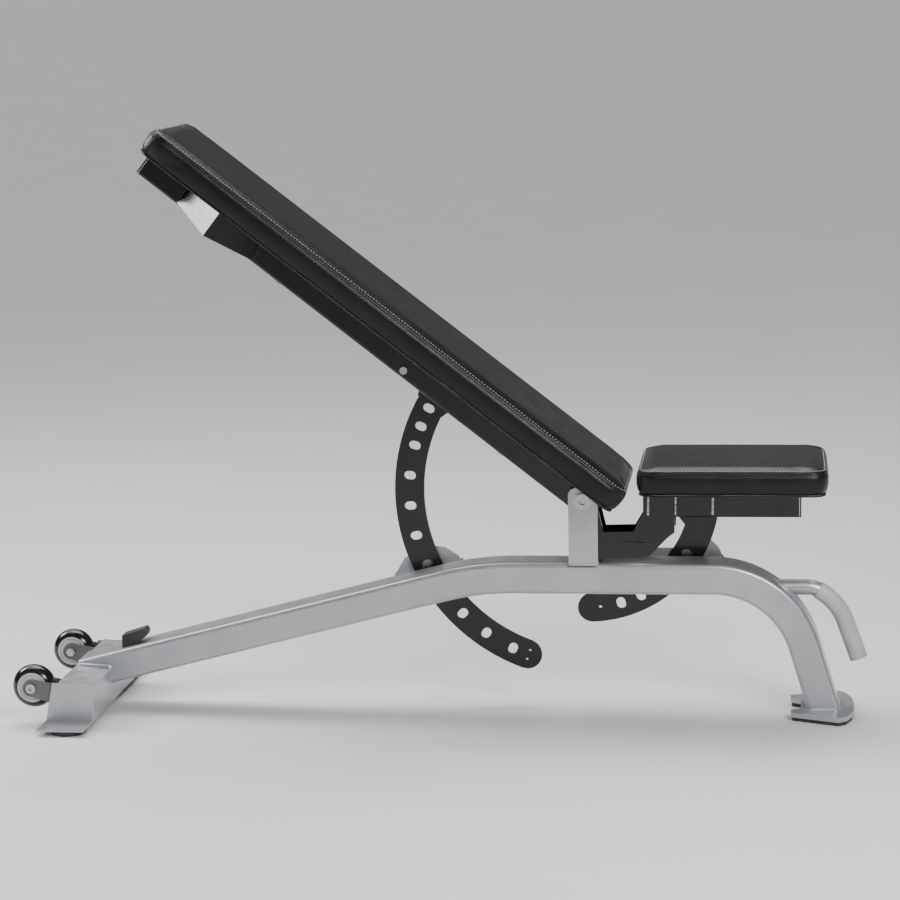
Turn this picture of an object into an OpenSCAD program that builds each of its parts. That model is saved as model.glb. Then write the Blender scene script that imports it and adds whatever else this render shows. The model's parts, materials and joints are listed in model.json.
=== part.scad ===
// Adjustable weight bench: reclining back, tilting seat, two lock pins and two transport wheels.
// X runs along the bench with the seat at +X, Y runs across it, Z is up and the floor is z = 0.

/* [Overall size] */
// Height of the shared back and seat pivot above the floor
pivot_h = 353; // [300:1:430]
// Distance from the pivot back to the rear crossmember
rear_reach = 811; // [680:1:980]
// Distance from the pivot forward to the start of the front bend
front_reach = 205; // [190:1:260]
// Length of the back pad
back_len = 943; // [900:1:1140]
// Length of the seat pad
seat_len = 303; // [290:1:370]
// Width of both pads
pad_w = 264; // [220:1:320]
// Thickness of both pads with their boards
pad_t = 46; // [38:1:56]

/* [Main frame] */
// Width of the main tube
main_w = 76; // [62:1:92]
// Depth of the main tube
main_h = 50; // [46:1:54]
// Wall of every frame tube
wall = 3; // [2:0.5:4]
// Length of the rear crossmember
cross_len = 304; // [250:1:370]
// Outside diameter of the handle tube
handle_d = 25; // [20:1:28]
// Outside diameter of the handle grip
grip_d = 29; // [29:1:36]

/* [Back and seat frames] */
// Width of the back tube
back_w = 55; // [45:1:66]
// Depth of the back and seat tubes
tube_h = 50; // [44:1:54]
// Recline of the back as drawn, up from level
back_rest = 38.2; // [30:0.1:45]
// Thickness of the seat arm and post plates
plate_t = 5; // [4:0.5:7]

/* [Adjuster plates and pins] */
// Radius of the back adjuster slots about the pivot
back_r = 289; // [285:1:300]
// Radius of the seat adjuster slots about the pivot
seat_r = 192; // [188:1:196]
// Width of both curved plates
band = 48; // [40:1:50]
// Thickness of both curved plates
arc_t = 6; // [4:0.5:8]
// Diameter of both lock pins
pin_d = 13; // [10:0.5:14]
// Angle between two back slots
step = 10; // [9:0.1:11]
// Angle between two seat slots
seat_step = 10.3; // [9:0.1:11]

/* [Pivot, wheels and feet] */
// Diameter of the pivot bolt
pivot_d = 16; // [12:1:18]
// Outside diameter of the wheels
wheel_d = 70; // [60:1:80]
// Width of the wheels
wheel_w = 32; // [26:1:38]
// Diameter of the round rubber feet
foot_d = 57; // [48:1:66]

/* [Hidden] */
$fn = 48;
drop = 129;
main_z = pivot_h - drop;
bend_x = 115;
bend_r = 460;
cross_w = 58;
cross_h = 62;
cross_z = 42;
cross_tilt = 5;
rear_z = 62;
slope_1 = atan((main_z - rear_z) / (rear_reach - bend_x));
slope_2 = atan((main_z - rear_z) / (rear_reach - bend_x - bend_r * tan(slope_1 / 2)));
slope = atan((main_z - rear_z) / (rear_reach - bend_x - bend_r * tan(slope_2 / 2)));
bend_end_x = bend_x + bend_r * sin(slope);
bend_end_z = main_z - bend_r * (1 - cos(slope));
rear_run = (rear_reach + 40 - bend_end_x) / cos(slope);
leg_r = 152;
leg_turn = 73;
leg_x = front_reach + leg_r * sin(leg_turn);
leg_z = main_z - leg_r * (1 - cos(leg_turn));
foot_top = 14;
foot_pad_h = 6;
leg_run = (leg_z - foot_top) / sin(leg_turn);
leg_foot_x = leg_x + leg_run * cos(leg_turn);
half_h = tube_h / 2;
run_fit = 0.1;
gap = 0.4;
arm_y0 = back_w / 2 + 2.5;
arm_y1 = arm_y0 + plate_t;
post_y0 = arm_y1 + 2.5;
post_y1 = post_y0 + plate_t;
post_w = 47;
post_top = pivot_h + 20;
seat_w = arm_y0 * 2;
seat_drop = 4;
seat_top = half_h - seat_drop;
foot_u = 48;
seat_rear = sqrt(pow(foot_u, 2) + pow(half_h + pad_t, 2)) + 0.8;
seat_x0 = seat_rear + 14;
seat_x1 = 346;
board_t = 10;
board_in = 9;
corner_r = 28;
arc_y0 = max(main_w / 2, arm_y1) + 2.5;
arc_y1 = arc_y0 + arc_t;
lock_y0 = arc_y1 + 2;
lock_t = 4;
barrel_y1 = lock_y0 + 32;
travel = arc_t + 1.7;
tip_y = arc_y1 + 0.7;
pin_back = 204.8;
pin_seat = -32.1;
back_pin_x = back_r * cos(pin_back);
back_pin_z = back_r * sin(pin_back);
seat_pin_x = seat_r * cos(pin_seat);
seat_pin_z = seat_r * sin(pin_seat);
settings = [-14.8, -8.3, -1.8, -1.8 + step, -1.8 + 2 * step, -1.8 + 3 * step, -1.8 + 4 * step,
  -1.8 + 5 * step, -1.8 + 6 * step, -1.8 + 7 * step, -1.8 + 8 * step];
last_slot = pin_back - 1.8 + 8 * step;
back_end = foot_u - back_len;
tube_end = back_end + 13;
axle_x = -rear_reach - cross_w / 2 - 9 - wheel_d / 2;
axle_z = 63;
strap_t = 4;
hub_d = wheel_d - 22;
tyre_r = wheel_w / 2 + 2;
wheel_gap = 0.8;
strap_y = cross_len / 2 - 2;
wheel_y = strap_y - strap_t - wheel_gap;
inner_y = wheel_y - wheel_w - wheel_gap;
axle_d = 8;
end_t = 3;
foot_y = cross_len / 2 + 33;
flange_z = 8;
handle_z = -18;
handle_x = 356;
kink_r = 35;
kink = 28.7;
curve_r = 95;
fall = 70.3;
grip_x = handle_x + kink_r * sin(kink);
grip_z = handle_z - kink_r * (1 - cos(kink));
curve_x = grip_x - curve_r * sin(kink);
curve_z = grip_z - curve_r * cos(kink);
straight_x = curve_x + curve_r * sin(fall);
straight_z = curve_z + curve_r * cos(fall);
grip_run = 63;
front_max = straight_x + grip_run * cos(fall) + grip_d / 2 * sin(fall);
rear_max = wheel_d / 2 - axle_x;
shift = (rear_max - front_max) / 2;
silver = [0.78, 0.8, 0.83];
black = [0.07, 0.07, 0.08];
vinyl = [0.1, 0.1, 0.11];
steel = [0.7, 0.71, 0.72];
rubber = [0.12, 0.12, 0.12];
grey = [0.62, 0.63, 0.64];

// A round bar along Y, centred on x and z, from y0 to y1
module rod(x, z, d, y0, y1) {
  translate([x, y0, z])
    rotate([-90, 0, 0])
      cylinder(d = d, h = y1 - y0);
}

// A flat plate standing in the XZ plane from y0 to y1
module slab(y0, y1) {
  translate([0, y1, 0])
    rotate([90, 0, 0])
      linear_extrude(height = y1 - y0)
        children();
}

// A rectangle with rounded corners, centred
module rounded(w, h, r) {
  union() {
    square([w - 2 * r, h], center = true);
    square([w, h - 2 * r], center = true);
    for (sx = [-1, 1])
      for (sy = [-1, 1])
        translate([sx * (w / 2 - r), sy * (h / 2 - r)])
          circle(r = r);
  }
}

// A plate outline with rounded corners between two x and two y values
module rounded_between(x0, x1, w, r) {
  translate([(x0 + x1) / 2, 0])
    rounded(x1 - x0, w, r);
}

// The pivot frame, with x and z measured from the pivot
module at_pivot() {
  translate([shift, 0, pivot_h])
    children();
}

// The back frame, drawn level and raised to its recline
module at_back() {
  at_pivot()
    rotate([0, back_rest, 0])
      children();
}

// The floor frame, with x measured from the pivot and z from the floor
module at_floor() {
  translate([shift, 0, 0])
    children();
}

// The main tube's path, w across and h deep: three straight runs joined by two bends
module main_run(w, h, r) {
  run_mid = front_reach + bend_x + 4;
  bw = w - 0.2;
  bh = h - 0.2;
  translate([-bend_x - 2, 0, main_z])
    rotate([90, 0, 90])
      linear_extrude(height = run_mid)
        rounded(w, h, r);
  translate([front_reach, 0, main_z - leg_r])
    rotate([90, 0, 0])
      rotate([0, 0, 90 - leg_turn])
        rotate_extrude(angle = leg_turn)
          translate([leg_r, 0])
            rounded(bh, bw, r);
  translate([-bend_x, 0, main_z - bend_r])
    rotate([90, 0, 0])
      rotate([0, 0, 90])
        rotate_extrude(angle = slope)
          translate([bend_r, 0])
            rounded(bh, bw, r);
  translate([-bend_end_x, 0, bend_end_z])
    rotate([0, -slope, 0])
      translate([-rear_run, 0, 0])
        rotate([90, 0, 90])
          linear_extrude(height = rear_run + 2)
            rounded(w, h, r);
  translate([leg_x, 0, leg_z])
    rotate([0, leg_turn, 0])
      translate([-2, 0, 0])
        rotate([90, 0, 90])
          linear_extrude(height = leg_run + 32)
            rounded(w, h, r);
}

module cross_block(grow) {
  translate([-rear_reach, 0, cross_z])
    rotate([0, cross_tilt, 0])
      cube([cross_w + grow, cross_len + grow, cross_h + grow], center = true);
}

module main_tube() {
  color(silver)
    at_floor()
      difference() {
        main_run(main_w, main_h, 7);
        main_run(main_w - 2 * wall, main_h - 2 * wall, 4);
        cross_block(0.1);
        translate([-rear_reach - 123, -100, 0])
          cube([100, 200, 200]);
        translate([leg_foot_x - 150, -100, -40 + foot_top - 20])
          cube([300, 200, 60]);
      }
}

module rear_crossmember() {
  color(silver)
    at_floor()
      translate([-rear_reach, 0, cross_z])
        rotate([0, cross_tilt, 0])
          difference() {
            cube([cross_w, cross_len, cross_h], center = true);
            cube([cross_w - 2 * wall, cross_len + 2, cross_h - 2 * wall], center = true);
          }
}

// A bent end plate: an upright plate on the crossmember end and a level foot flange
module end_bracket() {
  y0 = cross_len / 2;
  union() {
    slab(y0, y0 + end_t)
      polygon([[-rear_reach - 50, flange_z], [-rear_reach + 26, flange_z],
        [-rear_reach + 34, cross_z + 31], [-rear_reach - 37, cross_z + 31]]);
    translate([-rear_reach - 50, y0, flange_z])
      difference() {
        cube([76, 62, end_t]);
        translate([45, foot_y - y0, -1])
          cylinder(d = 5, h = end_t + 2);
      }
  }
}

module end_bracket_near() {
  color(silver)
    at_floor()
      mirror([0, 1, 0])
        end_bracket();
}

module end_bracket_far() {
  color(silver)
    at_floor()
      end_bracket();
}

module rubber_foot(side) {
  translate([-rear_reach - 5, side * foot_y, 0])
    union() {
      cylinder(d1 = foot_d - 4, d2 = foot_d, h = 4);
      translate([0, 0, 4])
        cylinder(d = foot_d, h = flange_z - 4);
    }
}

module rubber_foot_near() {
  color(rubber)
    at_floor()
      rubber_foot(-1);
}

module rubber_foot_far() {
  color(rubber)
    at_floor()
      rubber_foot(1);
}

// A flat arm that carries one side of a wheel, from y0 outward to y0 + strap_t
module wheel_strap(y0) {
  difference() {
    slab(y0, y0 + strap_t)
      difference() {
        union() {
          translate([axle_x, axle_z])
            circle(r = 14);
          polygon([[axle_x + 2, axle_z + 13.8], [axle_x - 6, axle_z - 12.6],
            [-rear_reach - 20, cross_z - 9], [-rear_reach - 20, cross_z + 25]]);
        }
        translate([axle_x, axle_z])
          circle(d = axle_d);
      }
    cross_block(0.1);
    translate([-rear_reach, 0, cross_z])
      rotate([0, cross_tilt, 0])
        cube([cross_w - 1, cross_len + 50, cross_h + 40], center = true);
  }
}

module wheel_strap_near_outer() {
  color(grey)
    at_floor()
      mirror([0, 1, 0])
        wheel_strap(strap_y - strap_t);
}

module wheel_strap_near_inner() {
  color(grey)
    at_floor()
      mirror([0, 1, 0])
        wheel_strap(inner_y - strap_t);
}

module wheel_strap_far_inner() {
  color(grey)
    at_floor()
      wheel_strap(inner_y - strap_t);
}

module wheel_strap_far_outer() {
  color(grey)
    at_floor()
      wheel_strap(strap_y - strap_t);
}

module axle_bolt() {
  union() {
    rod(axle_x, axle_z, axle_d, inner_y - strap_t - 8, strap_y + 1);
    difference() {
      rod(axle_x, axle_z, 16, strap_y, strap_y + 5);
      translate([axle_x, strap_y + 2, axle_z])
        rotate([-90, 0, 0])
          cylinder(d = 6.5, h = 5, $fn = 6);
    }
  }
}

module axle_bolt_near() {
  color(steel)
    at_floor()
      mirror([0, 1, 0])
        axle_bolt();
}

module axle_bolt_far() {
  color(steel)
    at_floor()
      axle_bolt();
}

module axle_nut() {
  y0 = inner_y - strap_t;
  difference() {
    translate([axle_x, y0, axle_z])
      rotate([90, 0, 0])
        cylinder(d = 15, h = 7, $fn = 6);
    rod(axle_x, axle_z, axle_d, y0 - 9, y0 + 1);
  }
}

module axle_nut_near() {
  color(steel)
    at_floor()
      mirror([0, 1, 0])
        axle_nut();
}

module axle_nut_far() {
  color(steel)
    at_floor()
      axle_nut();
}

module wheel_hub() {
  difference() {
    rod(axle_x, axle_z, hub_d, wheel_y - wheel_w, wheel_y);
    rod(axle_x, axle_z, axle_d + run_fit, wheel_y - wheel_w - 1, wheel_y + 1);
    for (y0 = [wheel_y - wheel_w - 1, wheel_y - 1.5])
      difference() {
        rod(axle_x, axle_z, hub_d - 6, y0, y0 + 2.5);
        rod(axle_x, axle_z, hub_d - 9, y0 - 1, y0 + 4);
      }
  }
}

module wheel_hub_near() {
  color(grey)
    at_floor()
      mirror([0, 1, 0])
        wheel_hub();
}

module wheel_hub_far() {
  color(grey)
    at_floor()
      wheel_hub();
}

module wheel_tyre() {
  translate([axle_x, wheel_y - wheel_w / 2, axle_z])
    rotate([90, 0, 0])
      rotate_extrude()
        intersection() {
          translate([wheel_d / 2 - tyre_r, 0])
            circle(r = tyre_r);
          translate([hub_d / 2, -wheel_w / 2])
            square([tyre_r, wheel_w]);
        }
}

module wheel_tyre_near() {
  color(rubber)
    at_floor()
      mirror([0, 1, 0])
        wheel_tyre();
}

module wheel_tyre_far() {
  color(rubber)
    at_floor()
      wheel_tyre();
}

// The forked outline of the front foot
module foot_outline(inset) {
  polygon([[leg_foot_x - 52 + inset, -58 + inset], [leg_foot_x - 52 + inset, -38],
    [leg_foot_x - 36 + inset, -28], [leg_foot_x - 36 + inset, 28],
    [leg_foot_x - 52 + inset, 38], [leg_foot_x - 52 + inset, 58 - inset],
    [leg_foot_x + 22, 90 - inset], [leg_foot_x + 36 - inset, 80 - inset],
    [leg_foot_x + 47 - inset, 45], [leg_foot_x + 49 - inset, 0],
    [leg_foot_x + 47 - inset, -45], [leg_foot_x + 36 - inset, -80 + inset],
    [leg_foot_x + 22, -90 + inset]]);
}

module front_foot() {
  color(silver)
    at_floor()
      translate([0, 0, foot_pad_h])
        linear_extrude(height = foot_top - foot_pad_h)
          foot_outline(0);
}

module front_foot_pad() {
  color(rubber)
    at_floor()
      linear_extrude(height = foot_pad_h)
        foot_outline(2);
}

// A silver U bracket: a base on the main tube and two upright cheeks
module post_bracket() {
  base_z = main_z + main_h / 2;
  color(silver)
    at_floor()
      difference() {
        union() {
          translate([-post_w / 2, -post_y1, base_z])
            cube([post_w, post_y1 * 2, 5]);
          for (side = [-1, 1])
            slab(side > 0 ? post_y0 : -post_y1, side > 0 ? post_y1 : -post_y0)
              union() {
                polygon([[-post_w / 2, base_z], [post_w / 2, base_z],
                  [post_w / 2, pivot_h], [0, pivot_h], [0, post_top],
                  [-post_w / 2 + 12, post_top], [-post_w / 2 + 12, post_top - 12],
                  [-post_w / 2, post_top - 12]]);
                translate([-post_w / 2 + 12, post_top - 12])
                  circle(r = 12);
                translate([0, pivot_h])
                  circle(r = post_w / 2);
              }
        }
        rod(0, pivot_h, pivot_d, -post_y1 - 1, post_y1 + 1);
      }
}

module pivot_bolt() {
  color(steel)
    at_pivot()
      union() {
        rod(0, 0, pivot_d, -post_y1 - 4, post_y1 + 16);
        difference() {
          rod(0, 0, 25, -post_y1 - 10, -post_y1 - 2);
          translate([0, -post_y1 - 11, 0])
            rotate([-90, 0, 0])
              cylinder(d = 11.5, h = 5, $fn = 6);
        }
      }
}

module pivot_washer(side) {
  y0 = side > 0 ? post_y1 : -post_y1 - 2;
  difference() {
    rod(0, 0, 30, y0, y0 + 2);
    rod(0, 0, pivot_d, y0 - 1, y0 + 3);
  }
}

module pivot_washer_near() {
  color(steel)
    at_pivot()
      pivot_washer(-1);
}

module pivot_washer_far() {
  color(steel)
    at_pivot()
      pivot_washer(1);
}

module pivot_nut() {
  color(steel)
    at_pivot()
      difference() {
        translate([0, post_y1 + 2, 0])
          rotate([-90, 0, 0])
            cylinder(d = 27.7, h = 13, $fn = 6);
        rod(0, 0, pivot_d, post_y1, post_y1 + 20);
      }
}

// A hat shaped guide on the far side of the main tube, open in the middle for a curved plate
module back_lock_bracket() {
  color(black)
    at_pivot()
      difference() {
        union() {
          slab(lock_y0, lock_y0 + lock_t)
            polygon([[-318, -176], [-318, -143], [-301, -113], [-254, -92], [-233, -95],
              [-212, -108], [-203, -120], [-203, -150]]);
          slab(main_w / 2, lock_y0 + 1)
            polygon([[-318, -176], [-318, -143], [-307, -140], [-307, -173.6]]);
          slab(main_w / 2, lock_y0 + 1)
            polygon([[-211, -152], [-211, -124], [-203, -122], [-203, -150]]);
        }
        rod(back_pin_x, back_pin_z, 22, lock_y0 - 1, lock_y0 + lock_t + 1);
      }
}

module back_lock_barrel() {
  color(steel)
    at_pivot()
      difference() {
        rod(back_pin_x, back_pin_z, 22, lock_y0, barrel_y1);
        rod(back_pin_x, back_pin_z, pin_d + run_fit, lock_y0 - 1, barrel_y1 + 1);
      }
}

module seat_lock_bracket() {
  color(black)
    at_pivot()
      difference() {
        union() {
          slab(lock_y0, lock_y0 + lock_t)
            polygon([[90, -150], [90, -112], [112, -94], [150, -94], [163, -78], [199, -78],
              [214, -93], [222, -111], [222, -150]]);
          slab(main_w / 2, lock_y0 + 1)
            polygon([[90, -134], [90, -112], [94, -109], [98, -109], [98, -134]]);
          slab(main_w / 2, lock_y0 + 1)
            polygon([[214, -148], [214, -108], [222, -112], [222, -148]]);
        }
        rod(seat_pin_x, seat_pin_z, 22, lock_y0 - 1, lock_y0 + lock_t + 1);
      }
}

module seat_lock_barrel() {
  color(steel)
    at_pivot()
      difference() {
        rod(seat_pin_x, seat_pin_z, 22, lock_y0, barrel_y1);
        rod(seat_pin_x, seat_pin_z, pin_d + run_fit, lock_y0 - 1, barrel_y1 + 1);
      }
}

// The wide curve and falling run of the handle, each a little slimmer than the one before
module bar_curve(d) {
  translate([curve_x, 0, curve_z])
    rotate([90, 0, 0])
      rotate([0, 0, 90 - fall])
        rotate_extrude(angle = fall - kink)
          translate([curve_r, 0])
            circle(d = d);
  translate([straight_x, 0, straight_z])
    rotate([0, 90 + fall, 0])
      translate([0, 0, -2])
        cylinder(d = d - 0.4, h = grip_run - 2);
}

module handle_tube() {
  color(silver)
    translate([shift, 0, main_z])
      difference() {
        union() {
          translate([300, 0, handle_z])
            rotate([0, 90, 0])
              cylinder(d = handle_d, h = handle_x - 300);
          translate([handle_x, 0, handle_z - kink_r])
            rotate([90, 0, 0])
              rotate([0, 0, 90 - kink - 2])
                rotate_extrude(angle = kink + 4)
                  translate([kink_r, 0])
                    circle(d = handle_d - 0.4);
          bar_curve(handle_d - 0.8);
        }
        translate([front_reach, 0, -leg_r])
          rotate([90, 0, 0])
            cylinder(r = leg_r + main_h / 2, h = 100, center = true);
      }
}

module handle_grip() {
  color(grey)
    translate([shift, 0, main_z])
      difference() {
        union() {
          translate([curve_x, 0, curve_z])
            rotate([90, 0, 0])
              rotate([0, 0, 90 - fall])
                rotate_extrude(angle = fall - kink)
                  translate([curve_r, 0])
                    circle(d = grip_d - 0.2);
          translate([straight_x, 0, straight_z])
            rotate([0, 90 + fall, 0])
              translate([0, 0, -2])
                cylinder(d = grip_d, h = grip_run + 2);
        }
        translate([handle_x, 0, handle_z - kink_r])
          rotate([90, 0, 0])
            rotate([0, 0, 90 - kink - 2.2])
              rotate_extrude(angle = 10)
                translate([kink_r, 0])
                  circle(d = handle_d - 0.4);
        bar_curve(handle_d - 0.8);
      }
}

// A rubber block on the main tube that stops the back at full decline
module rest_bumper() {
  bx = -rear_reach + 46;
  bz = bend_end_z - (-bx - bend_end_x) * tan(slope) + main_h / 2 / cos(slope);
  color(rubber)
    at_floor()
      difference() {
        slab(-15, 15)
          polygon([[bx, bz - 3], [bx, bz + 20.5], [bx + 38, bz + 32.5], [bx + 42, bz + 26],
            [bx + 40, bz + 19], [bx + 28, bz + 9], [bx + 15, bz + 1]]);
        main_run(main_w, main_h, 7);
      }
}

module back_tube() {
  color(black)
    at_back()
      difference() {
        translate([tube_end, 0, 0])
          rotate([90, 0, 90])
            linear_extrude(height = 30 - tube_end)
              difference() {
                rounded(back_w, tube_h, 5);
                rounded(back_w - 5, tube_h - 5, 3);
              }
        rod(0, 0, 24, -back_w, back_w);
        rod(-353, -13, 8, -back_w, back_w);
        for (px = [-150, -600])
          translate([px, 0, -half_h - 1])
            cylinder(d = 8, h = tube_h + 2);
      }
}

module back_cap() {
  color(black)
    at_back()
      union() {
        translate([tube_end - 3, 0, 0])
          rotate([90, 0, 90])
            linear_extrude(height = 3)
              rounded(back_w, tube_h, 5);
        translate([tube_end - 1, 0, 0])
          rotate([90, 0, 90])
            linear_extrude(height = 13)
              rounded(back_w - 6, tube_h - 6, 2.5);
      }
}

module back_pivot_bush() {
  color(steel)
    at_back()
      difference() {
        rod(0, 0, 24, -arm_y0 + gap, arm_y0 - gap);
        rod(0, 0, pivot_d + run_fit, -arm_y0, arm_y0);
      }
}

// A folded strip from the tube out under the pad edge and back
module back_wing(side) {
  out = pad_w / 2 - 16;
  y0 = back_w / 2;
  rise = out - y0;
  x1 = back_end + 90;
  x2 = x1 + 76;
  x3 = x2 + 78;
  translate([0, 0, -22])
    linear_extrude(height = 22 + half_h)
      polygon([[x1, side * y0], [x2, side * out], [x3, side * y0], [x3 - 6, side * y0],
          [x2, side * (out - 6.5)], [x1 + 6, side * y0]]);
}

module back_wing_near() {
  color(black)
    at_back()
      back_wing(-1);
}

module back_wing_far() {
  color(black)
    at_back()
      back_wing(1);
}

// A radial slot in a curved plate at a given angle
module radial_slot(r, a) {
  rotate([0, 0, a])
    translate([r, 0])
      union() {
        square([4.5, pin_d + 1.5], center = true);
        for (s = [-1, 1])
          translate([s * 2.25, 0])
            circle(d = pin_d + 1.5);
      }
}

// A curved band between two angles with a round far end
module arc_band(r, a0, a1, end) {
  far = r + band;
  union() {
    intersection() {
      difference() {
        circle(r = r + band / 2, $fn = 96);
        circle(r = r - band / 2, $fn = 96);
      }
      polygon([[0, 0], [far * cos(a0), far * sin(a0)],
        [1.5 * far * cos((a0 + a1) / 2), 1.5 * far * sin((a0 + a1) / 2)],
        [far * cos(a1), far * sin(a1)]]);
    }
    rotate([0, 0, end])
      translate([r, 0])
        circle(r = band / 2 - 0.4);
  }
}

module back_arc() {
  a_end = last_slot + 5.2;
  color(black)
    at_back()
      slab(arc_y0, arc_y1)
        difference() {
          union() {
            arc_band(back_r, 184, a_end, a_end);
            polygon([[-back_r - band / 2 - 14, -27], [-back_r - band / 2 - 5, -32],
              [-back_r - band / 2 + 1, -44], [-back_r + band / 2 + 4, -54],
              [-back_r + band / 2 + 9, -37], [-back_r + band / 2 + 19, -27],
              [-back_r + band / 2 + 19, 10], [-back_r - band / 2 - 14, 10]]);
          }
          for (s = settings)
            radial_slot(back_r, pin_back + s);
          for (dr = [-8, 8])
            rotate([0, 0, last_slot + 5.5])
              translate([back_r + dr, 0])
                circle(d = 4);
        }
}

module back_arc_spacer() {
  color(black)
    at_back()
      translate([-back_r - 33, back_w / 2, -16])
        cube([66, arc_y0 - back_w / 2, 22]);
}

// The outline of a board or pad in plan
module pad_outline(x0, x1, inset) {
  rounded_between(x0 + inset, x1 - inset, pad_w - 2 * inset, corner_r - inset / 2);
}

// A pad shell with a pocket underneath for its board
module pad_solid(x0, x1, z0) {
  difference() {
    translate([0, 0, z0])
      linear_extrude(height = pad_t)
        pad_outline(x0, x1, 0);
    translate([0, 0, z0 - 1])
      linear_extrude(height = board_t + 1)
        pad_outline(x0, x1, board_in);
  }
}

module back_board() {
  color([0.45, 0.36, 0.26])
    at_back()
      difference() {
        translate([0, 0, half_h])
          linear_extrude(height = board_t)
            pad_outline(back_end, foot_u, board_in);
        for (px = [-150, -600])
          translate([px, 0, half_h - 1])
            cylinder(d = 8, h = 8);
      }
}

module back_pad() {
  color(vinyl)
    at_back()
      pad_solid(back_end, foot_u, half_h);
}

module back_side_bolt() {
  color(steel)
    at_back()
      union() {
        rod(-353, -13, 8, -back_w / 2 - 1, back_w / 2 + 2);
        rod(-353, -13, 12.5, -back_w / 2 - 4, -back_w / 2);
        rod(-353, -13, 12.5, back_w / 2, back_w / 2 + 3);
      }
}

// A bolt up through the tube into the board
module pad_bolt(px) {
  union() {
    translate([px, 0, -half_h - 1])
      cylinder(d = 8, h = tube_h + 8);
    translate([px, 0, -half_h - 5])
      cylinder(d = 15, h = 5, $fn = 6);
  }
}

module back_bolt_upper() {
  color(steel)
    at_back()
      pad_bolt(-600);
}

module back_bolt_lower() {
  color(steel)
    at_back()
      pad_bolt(-150);
}

module seat_tube() {
  color(black)
    at_pivot()
      translate([seat_x0, 0, -seat_drop])
        rotate([90, 0, 90])
          linear_extrude(height = seat_x1 - 3 - seat_x0)
            difference() {
              rounded(seat_w, tube_h, 5);
              rounded(seat_w - 5, tube_h - 5, 3);
            }
}

module seat_cap() {
  color(black)
    at_pivot()
      union() {
        translate([seat_x1 - 3, 0, -seat_drop])
          rotate([90, 0, 90])
            linear_extrude(height = 3)
              rounded(seat_w, tube_h, 5);
        translate([seat_x1 - 15, 0, -seat_drop])
          rotate([90, 0, 90])
            linear_extrude(height = 13)
              rounded(seat_w - 6, tube_h - 6, 2.5);
      }
}

// A seat arm: a pivot eye, a drop under the back pad and a rise to the seat tube
module seat_arm(y0) {
  rise = seat_rear + 9;
  slab(y0, y0 + plate_t)
    difference() {
      union() {
        circle(r = 23.5);
        polygon([[-23, 4], [-23, -80], [-14, -94], [26, -96], [105, -91.7], [115.6, -80.3],
          [134.8, -60.7], [rise + 50, -52.5], [rise + 50, seat_top - 1], [rise, seat_top - 1],
          [rise, -25], [rise - 16, -52], [32.5, -53], [23, -13], [23, 4]]);
      }
      circle(d = pivot_d + run_fit);
    }
}

module seat_arm_near() {
  color(black)
    at_pivot()
      seat_arm(-arm_y1);
}

module seat_arm_far() {
  color(black)
    at_pivot()
      seat_arm(arm_y0);
}

module seat_washer(y0) {
  difference() {
    rod(0, 0, 30, y0, y0 + 2.1);
    rod(0, 0, pivot_d + run_fit, y0 - 1, y0 + 4);
  }
}

module seat_washer_near() {
  color(steel)
    at_pivot()
      seat_washer(-arm_y1 - 2.1);
}

module seat_washer_far() {
  color(steel)
    at_pivot()
      seat_washer(arm_y1);
}

module seat_arc() {
  a_end = pin_seat - 5 * seat_step - 4;
  color(black)
    at_pivot()
      slab(arc_y0, arc_y1)
        difference() {
          union() {
            arc_band(seat_r, a_end, -9, a_end);
            polygon([[150, 12], [150, -42], [164, -60], [200, -60], [seat_r + band / 2 - 3, -40],
              [seat_r + band / 2, -26], [seat_r + band / 2, 12]]);
          }
          for (k = [0 : 4])
            radial_slot(seat_r, pin_seat - k * seat_step);
          rotate([0, 0, pin_seat - 5 * seat_step])
            translate([seat_r, 0])
              circle(d = 5);
        }
}

module seat_arc_spacer() {
  color(black)
    at_pivot()
      translate([156, seat_w / 2, -22])
        cube([52, arc_y0 - seat_w / 2, 28]);
}

module seat_board() {
  color([0.45, 0.36, 0.26])
    at_pivot()
      translate([0, 0, seat_top])
        linear_extrude(height = board_t)
          pad_outline(seat_rear, seat_rear + seat_len, board_in);
}

module seat_pad() {
  color(vinyl)
    at_pivot()
      pad_solid(seat_rear, seat_rear + seat_len, seat_top);
}

module lock_pin(x, z) {
  rod(x, z, pin_d, tip_y, barrel_y1 + travel + 12);
}

module lock_knob(x, z) {
  y0 = barrel_y1 + travel + 0.6;
  difference() {
    union() {
      rod(x, z, 24, y0, y0 + 6);
      rod(x, z, 32, y0 + 5, y0 + 26);
    }
    rod(x, z, pin_d, y0 - 1, barrel_y1 + travel + 12);
  }
}

module back_lock_pin() {
  color(steel)
    at_pivot()
      lock_pin(back_pin_x, back_pin_z);
}

module back_lock_knob() {
  color(rubber)
    at_pivot()
      lock_knob(back_pin_x, back_pin_z);
}

module seat_lock_pin() {
  color(steel)
    at_pivot()
      lock_pin(seat_pin_x, seat_pin_z);
}

module seat_lock_knob() {
  color(rubber)
    at_pivot()
      lock_knob(seat_pin_x, seat_pin_z);
}

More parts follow.
